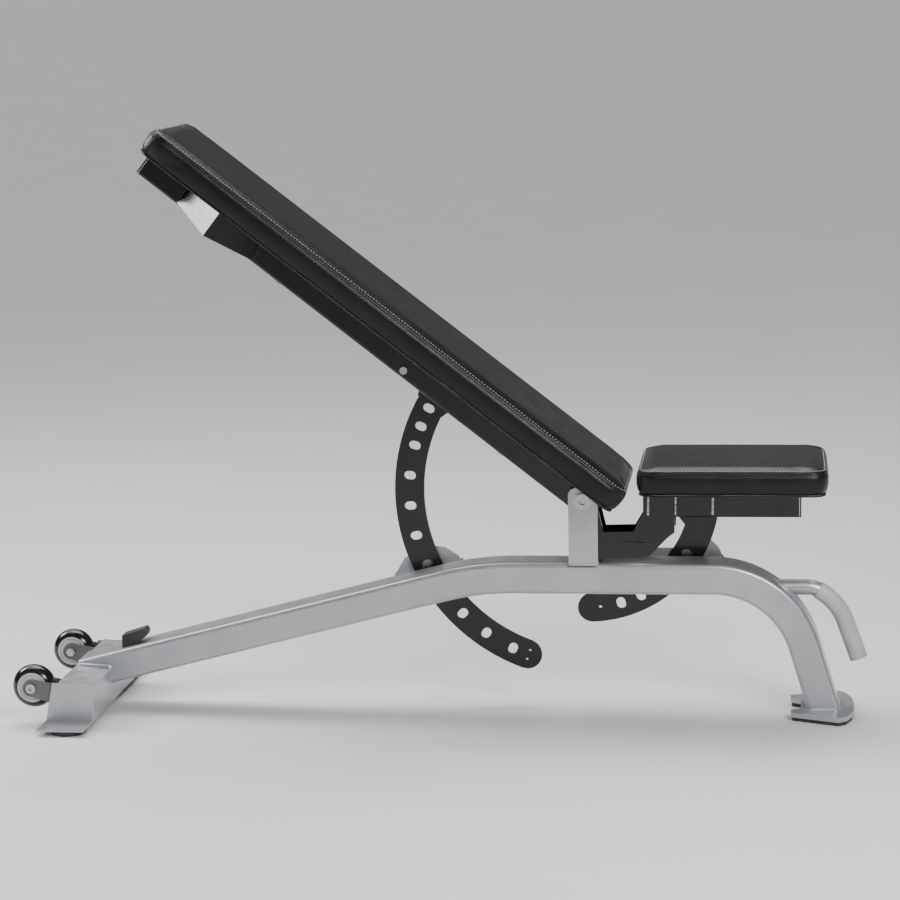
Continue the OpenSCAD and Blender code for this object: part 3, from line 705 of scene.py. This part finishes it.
def make_pad(name, node, local, body, seed):
    """One cushion with its seam, stitches, hem and staples, in the place of its CAD pad."""
    lo, hi = local_box(node, local)
    box = shrunk((lo.x, hi.x, lo.y, hi.y), PAD_INSET)
    z0, z1 = lo.z + PAD_GAP_LOW, hi.z - PAD_GAP_HIGH
    obj = pad_form(name, box, z0, z1)
    rest = vertex_rows(obj.data)
    skin = rest.copy()
    hold(obj, rest, box, z0, z1)
    skin = swollen(obj, rest)
    crown_and_pucker(skin, box, z0, z1, hi.z, seed)
    obj.data.vertices.foreach_set("co", skin.ravel())
    refine(obj)
    seam = lo.z + (hi.z - lo.z) * SEAM_SHARE
    press_seam(obj, seam)
    obj.data.polygons.foreach_set("use_smooth", [True] * len(obj.data.polygons))
    obj.data.materials.clear()
    obj.data.materials.append(MATS["black_vinyl"])
    bpy.context.view_layer.update()

    stitch_line = seam_path(obj, seam + 0.0050, box, 0.004, 0.0001)
    row = stitches(name + "_stitches", stitch_line, 0.0056, 0.0037, 0.0008, body, seed)
    bm = bmesh.new()
    sweep(bm, seam_path(obj, seam, box, 0.005), 0.0006, 6, close=True, up=Vector((0, 0, 1)))
    welt = new_piece(name + "_seam", bm, MATS["black_vinyl"], body)
    under = ((lo.x, hi.x, lo.y, hi.y), lo.z - 0.0009, body, seed)
    band = hem(name + "_hem", *under)
    staples = hem_staples(name + "_hem_staples", *under)
    for piece in (obj, row, welt, band, staples):
        piece.data.transform(local)
        piece.data.update()
    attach(obj, body)
    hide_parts(node)


make_pad("back_cushion", "back_pad", BACK_FRAME, "back", 11)
make_pad("seat_cushion", "seat_pad", SEAT_FRAME, "seat", 23)


# ---------------------------------------------------------------- weld beads
SIDES = ((-1, "near"), (1, "far"))
ENDS = ((-1, "rear"), (1, "front"))
BEAD_STEP = 0.34  # from one ring to the next, as a share of the bead's radius
RIPPLE, RIPPLE_RINGS = 0.20, 4.2  # how deep a ripple is, and how many rings long
UNEVEN = 0.05  # the random share in each ring's size and place


def bead(name, path, radius, seed, body="base", slot="silver_paint", squash=1.0):
    """A row of overlapping ripples that taper at both ends, as a hand-run weld leaves."""
    line = resample(path, radius * BEAD_STEP)
    if len(line) < 3:
        return
    rng = random.Random(seed)
    radii, pts = [], []
    for i, p in enumerate(line):
        ripple = 1 - RIPPLE + RIPPLE * abs(math.sin(i * math.pi / RIPPLE_RINGS))
        r = radius * ripple * (1 + rng.uniform(-UNEVEN, UNEVEN))
        if i < 3 or i > len(line) - 4:
            r *= 0.35 + 0.2 * min(i, len(line) - 1 - i)
        radii.append(r)
        pts.append(p + Vector([rng.uniform(-1, 1) * radius * UNEVEN for _ in range(3)]))
    bm = bmesh.new()
    sweep(bm, pts, radii, 10, squash=squash)
    new_piece(name, bm, MATS[slot], body)


def weld_post():
    """Round the foot of the post bracket, on the main tube."""
    lo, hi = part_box("post_bracket")
    for side, tag in SIDES:
        y = lo.y if side < 0 else hi.y
        line = [Vector((x, y, lo.z)) for x in (lo.x + 0.001, hi.x - 0.001)]
        bead("weld_post_" + tag, line, 0.0020, 3 + side)
    for side, tag in ENDS:
        x = lo.x if side < 0 else hi.x
        line = [Vector((x, y * 0.85, lo.z)) for y in (lo.y, hi.y)]
        bead("weld_post_" + tag, line, 0.0018, 8 + side)


def weld_crossmember():
    """The cope where the crossmember meets the main tube, and its end brackets."""
    lo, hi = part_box("rear_crossmember")
    main_lo, main_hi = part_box("main_tube")
    rear_top = (main_lo.x - 0.0006, hi.z - 0.0002)
    front_top = (hi.x - 0.0012, hi.z - 0.0022)
    front_low = (hi.x - 0.0042, hi.z - 0.034)
    for side, tag in SIDES:
        y = side * (main_hi.y + 0.0002)
        line = [Vector((x, y, z)) for x, z in (rear_top, front_top, front_low)]
        bead("weld_cope_" + tag, line, 0.0042, 20 + side)
        y = side * (hi.y - 0.0006)
        line = [Vector((hi.x - 0.0005, y, hi.z - 0.003)), Vector((hi.x - 0.0062, y, lo.z + 0.004))]
        bead("weld_end_" + tag, line, 0.0027, 24 + side)
    line = [Vector((rear_top[0], y, rear_top[1])) for y in (-main_hi.y, main_hi.y)]
    bead("weld_cope_top", line, 0.0024, 27)


def weld_handle():
    """The ring where the handle's stub meets the main tube's front bend."""
    bend = PIVOT + Vector((205, 0, -281)) / 1000  # its centre, given in millimetres
    bend_radius = 0.177
    stub_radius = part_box("handle_tube")[1].y
    stub_z = PIVOT.z - 0.147
    points_round = 48
    ring = []
    for k in range(points_round + 1):
        t = 2 * math.pi * k / points_round
        z = stub_z + stub_radius * math.sin(t)
        x = bend.x + math.sqrt(bend_radius ** 2 - (z - bend.z) ** 2)
        ring.append(Vector((x, stub_radius * math.cos(t), z)))
    bead("weld_handle", ring, 0.0028, 31)


def weld_leg():
    """Round the front leg, on its foot plate."""
    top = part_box("front_foot")[1].z
    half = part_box("main_tube")[1].y
    leg = points("main_tube")
    leg = leg[leg[:, 2] < top + 0.0005]
    x0, x1 = leg[:, 0].min(), leg[:, 0].max()
    for side, tag in SIDES:
        line = [Vector((x, side * half, top)) for x in (x0 + 0.003, x1 - 0.003)]
        bead("weld_leg_" + tag, line, 0.0022, 35 + side)
    for x, tag in ((x0, "rear"), (x1, "front")):
        line = [Vector((x, y, top)) for y in (-half + 0.004, half - 0.004)]
        bead("weld_leg_" + tag, line, 0.0022, 38)


def weld_seat_frame():
    """The seat's arms and arc on its tube, with bright beads as painted highlights, and a plug
    weld on each arm.
    """
    tube_lo, tube_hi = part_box("seat_tube")
    arm_lo, arm_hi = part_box("seat_arm_near")
    arc_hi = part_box("seat_arc")[1]
    for side, tag in SIDES:
        y_arm, y_tube = side * -arm_lo.y, side * tube_hi.y
        spots = [
            (tube_lo.x + 0.003, y_arm, 0.0026),
            (arm_hi.x + 0.0008, y_tube * 1.04, 0.0028),
        ]
        if side < 0:
            spots.append((arc_hi.x - 0.010, y_tube, 0.0026))
        for k, (x, y, radius) in enumerate(spots):
            line = [Vector((x, y, tube_lo.z + 0.003)), Vector((x + 0.0006, y, tube_hi.z - 0.004))]
            # Painted highlight: these black-painted welds are given bright zinc steel, which
            # stands in for the light they reflect
            bead(f"weld_seat_{tag}_{k}", line, radius, 40 + k + side, "seat", "zinc_steel")
        line = [
            Vector((PIVOT.x + 0.062, y_arm, PIVOT.z - 0.068)),
            Vector((PIVOT.x + 0.104, y_arm, PIVOT.z - 0.0695)),
        ]
        bead(f"weld_plug_{tag}", line, 0.0017, 50 + side, "seat", "black_paint", 0.6)


def weld_wings():
    """Both ends of the folded wings under the head end."""
    wing = local_points("back_wing_near", BACK_FRAME)
    low, high = wing.min(axis=0), wing.max(axis=0)
    for side, tag in SIDES:
        y = side * abs(wing[:, 1]).min()
        for x, end in ((low[0] + 0.001, "head"), (high[0] - 0.001, "foot")):
            line = [BACK_FRAME @ Vector((x, y, z)) for z in (low[2] + 0.002, high[2] - 0.001)]
            bead(f"weld_wing_{tag}_{end}", line, 0.0024, 60 + side, "back", "black_paint")


def weld_lock_brackets():
    """The rear and front edges of the lock brackets, which stand beside the main tube."""
    inward = 0.0045
    # At the rear and the front edge: x and height at the low end, then at the high end
    edges = {
        "back": ((0.0, 0.029, 0.0060, 0.043), (0.0, 0.054, -0.003, 0.066)),
        "seat": ((0.0, 0.038, 0.006, 0.046), (0.0, 0.038, -0.003, 0.046)),
    }
    for tag, ends in edges.items():
        lo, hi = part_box(tag + "_lock_bracket")
        for k, (dx0, z0, dx1, z1) in enumerate(ends):
            x, y = (lo.x, hi.x)[k], hi.y - inward
            line = [Vector((x + dx0, y, lo.z + z0)), Vector((x + dx1, y, lo.z + z1))]
            bead(f"weld_lock_{tag}_{k}", line, 0.0026, 70 + k)


weld_post()
weld_crossmember()
weld_handle()
weld_leg()
weld_seat_frame()
weld_wings()
weld_lock_brackets()


# ---------------------------------------------------------------- painted highlight rims and lock knobs
RIM_RADIUS, RIM_CORNER, RIM_INSET, CAP_FLANGE = 0.0009, 0.005, 0.0004, 0.003


# Painted highlight: a bright zinc ring stands in for the light caught on a tube cap's edge
def highlight_ring(name, local, x, half_y, half_z, body):
    """A thin bright ring round the end of a painted tube: a painted highlight along the cap's
    edge.
    """
    edge = outline(-half_y, half_y, -half_z, half_z, RIM_CORNER, 0.003)
    path = [local @ Vector((x, y, z)) for y, z, _, _ in edge]
    bm = bmesh.new()
    sweep(bm, path, RIM_RADIUS, 6, close=True, up=(local.to_3x3() @ Vector((1, 0, 0))))
    new_piece(name, bm, MATS["zinc_steel"], body)


def back_highlight_ring():
    """Round the cap at the head end of the back tube."""
    lo, hi = local_box("back_cap", BACK_FRAME)
    half_y, half_z = hi.y - RIM_INSET, hi.z - RIM_INSET
    highlight_ring("back_tube_highlight_ring", BACK_FRAME, lo.x + CAP_FLANGE, half_y, half_z, "back")


def seat_highlight_ring():
    """Round the cap at the front end of the seat tube."""
    lo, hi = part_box("seat_tube")
    local = Matrix.Translation((0, 0, (lo.z + hi.z) / 2))
    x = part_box("seat_cap")[1].x - CAP_FLANGE
    highlight_ring("seat_tube_highlight_ring", local, x, hi.y - RIM_INSET, (hi.z - lo.z) / 2 - RIM_INSET, "seat")


# Painted highlights round the caps of the back tube and the seat tube
back_highlight_ring()
seat_highlight_ring()

KNOB_LOBES, KNOB_STEPS, FLUTE_DEPTH = 10, 8, 0.075
KNOB_DIAMETER, KNOB_CORE = 32, 13.4  # millimetres; the core is just wider than the pin
# How far along, the share of the radius there, and how deep the flutes are
KNOB_PROFILE = (
    (0.0, 0.40, 0), (0.0, 0.72, 0), (0.03, 0.74, 0), (0.16, 0.74, 0), (0.19, 0.80, 0),
    (0.22, 0.94, 1), (0.26, 0.99, 1), (0.34, 1.0, 1), (0.72, 1.0, 1), (0.84, 0.99, 1),
    (0.91, 0.94, 1), (0.96, 0.82, 0.5), (0.99, 0.62, 0), (1.0, 0.44, 0),
)


def knob(name, node, body):
    """A fluted pull knob with a waist and a domed end."""
    lo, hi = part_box(node)
    centre = (lo + hi) / 2
    radius, length = (hi.x - lo.x) / 2, hi.y - lo.y
    core = radius * KNOB_CORE / KNOB_DIAMETER
    around = KNOB_LOBES * KNOB_STEPS
    bm = bmesh.new()
    rings = []
    for along, share, flute in KNOB_PROFILE:
        y = lo.y + length * along
        ring = []
        for k in range(around):
            t = 2 * math.pi * k / around
            valley = (0.5 - 0.5 * math.cos(KNOB_LOBES * t)) ** 2
            r = max(core, radius * share * (1 - FLUTE_DEPTH * flute * valley))
            ring.append(bm.verts.new((centre.x + r * math.cos(t), y, centre.z + r * math.sin(t))))
        rings.append(ring)
    for a, b in zip(rings, rings[1:]):
        for k in range(around):
            bm.faces.new((a[k], b[k], b[(k + 1) % around], a[(k + 1) % around]))
    bm.faces.new(rings[0])
    bm.faces.new(list(reversed(rings[-1])))
    bmesh.ops.recalc_face_normals(bm, faces=bm.faces)
    piece = new_piece(name, bm, MATS["black_plastic"], body)
    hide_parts(node)


knob("back_pull_knob", "back_lock_knob", "back_pin")
knob("seat_pull_knob", "seat_lock_knob", "seat_pin")


# ---------------------------------------------------------------- camera, light and floor
CAM_AZ, CAM_EL, CAM_ROLL = math.radians(6.85), math.radians(9.06), math.radians(1.05)
CAM_DIST, CAM_LENS = 4.5, 111.6
CAM_TARGET = PIVOT + Vector((-0.2164, 0, 0.0748))


def photo_camera():
    """The camera, at the place that was fitted to the photograph."""
    away = Vector((
        math.sin(CAM_AZ) * math.cos(CAM_EL),
        -math.cos(CAM_AZ) * math.cos(CAM_EL),
        math.sin(CAM_EL),
    ))
    level = Vector((math.cos(CAM_AZ), math.sin(CAM_AZ), 0))
    upright = away.cross(level)
    right = level * math.cos(CAM_ROLL) - upright * math.sin(CAM_ROLL)
    up = level * math.sin(CAM_ROLL) + upright * math.cos(CAM_ROLL)
    place = CAM_TARGET + away * CAM_DIST
    data = bpy.data.cameras.new("camera")
    data.lens = CAM_LENS
    data.sensor_width = 36
    camera = bpy.data.objects.new("camera", data)
    camera.matrix_world = Matrix((
        (right.x, up.x, away.x, place.x),
        (right.y, up.y, away.y, place.y),
        (right.z, up.z, away.z, place.z),
        (0, 0, 0, 1),
    ))
    bpy.context.scene.collection.objects.link(camera)
    bpy.context.scene.camera = camera


def studio_floor():
    """Flat under the bench, rising gently far behind it to hide the horizon from the camera."""
    half_width = 160
    rise = ((-60, 0), (25, 0), (60, 0.5), (120, 3.2), (300, 16))
    bm = bmesh.new()
    rows = [[bm.verts.new((x, y, z)) for x in (-half_width, half_width)] for y, z in rise]
    for a, b in zip(rows, rows[1:]):
        bm.faces.new((a[0], a[1], b[1], b[0]))
    mesh = bpy.data.meshes.new("floor")
    bm.to_mesh(mesh)
    bm.free()
    floor = bpy.data.objects.new("floor", mesh)
    bpy.context.scene.collection.objects.link(floor)
    mat, tree, shader, where = material("floor")
    mottle = noise_node(tree, where, 3, 3)
    colour = blend_colour(tree, mottle, (0.60, 0.60, 0.61), (0.66, 0.66, 0.67))
    tree.links.new(colour, shader.inputs["Base Color"])
    shader.inputs["Roughness"].default_value = 0.75
    mesh.materials.append(mat)


def sky():
    """A dim, even light from all round."""
    world = bpy.data.worlds.new("world")
    world.use_nodes = True
    background = world.node_tree.nodes["Background"]
    background.inputs[0].default_value = (0.78, 0.79, 0.81, 1)
    background.inputs[1].default_value = 0.10
    bpy.context.scene.world = world


def aimed(name, light, direction):
    """Links a light that shines along a direction."""
    obj = bpy.data.objects.new(name, light)
    obj.rotation_euler = direction.to_track_quat("-Z", "Y").to_euler()
    bpy.context.scene.collection.objects.link(obj)
    return obj


def broad_light(name, power, spread, direction):
    """A sun with a wide disc, so that its shadows are soft."""
    light = bpy.data.lights.new(name, "SUN")
    light.energy = power
    light.angle = math.radians(spread)
    aimed(name, light, Vector(direction))


def area(name, at, aim, size, power):
    """A rectangular light at one point, aimed at another."""
    light = bpy.data.lights.new(name, "AREA")
    light.shape = "RECTANGLE"
    light.size, light.size_y = size
    light.energy = power
    aimed(name, light, Vector(aim) - Vector(at)).location = at


photo_camera()
studio_floor()
sky()
broad_light("soft", 2.35, 60, (0.25, -0.42, -1))
area("key", (1.9, -2.7, 2.3), (0, 0, 0.4), (1.6, 1.2), 125)
area("fill", (-2.8, -2.2, 0.9), (0, 0, 0.4), (1.0, 1.4), 20)
area("left", (-2.94, 0.74, 2.15), (-0.37, -0.07, 0.83), (1.1, 1.1), 75)
area("top", (-0.2, 0.9, 3.2), (0, 0, 0.3), (2.6, 1.4), 60)
